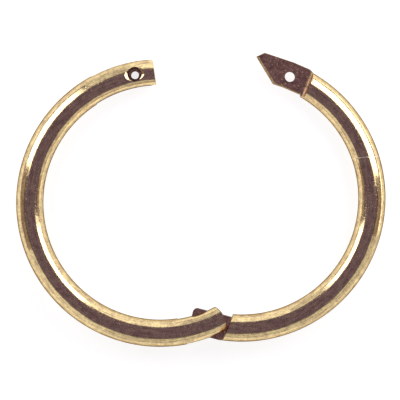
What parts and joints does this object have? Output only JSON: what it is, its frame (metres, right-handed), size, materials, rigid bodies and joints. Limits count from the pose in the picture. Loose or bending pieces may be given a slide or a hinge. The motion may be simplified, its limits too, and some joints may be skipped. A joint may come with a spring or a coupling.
{
  "type": "hinged bull nose ring",
  "caption": "Hinged nose ring for a bull: polished half rings riveted at one end, with a slotted lock end and a flat pointed blade, standing open.",
  "frame": {"origin": "under the middle of the open ring's bounding box, on the surface that the ring lies on", "axes": "+Z is the axis of the ring and of its hinge and screw holes, towards the side with the screw's seat; the hinge is towards -Y and the open mouth towards +Y; the slotted arm is on the -X side"},
  "size_m": [0.0977, 0.0763, 0.0072],
  "materials": {
    "slotted_arm": "polished round the bar, saw marks in the slots",
    "bladed_arm": "polished round the bar, tarnished and mill-marked on the blade and tongue",
    "hinge_rivet": "filed flush and polished with the bar"
  },
  "bodies": {
    "slotted_half": {"slotted_arm": "slotted_arm", "hinge_rivet": "hinge_rivet"},
    "bladed_half": {"bladed_arm": "bladed_arm"}
  },
  "joints": [
    {"name": "ring_hinge", "type": "hinge", "parent": "slotted_half", "child": "bladed_half", "pos_m": [0.00013, -0.03272, 0.0036], "axis": [0, 0, 1], "range_deg": [-72, 34.7]}
  ]
}
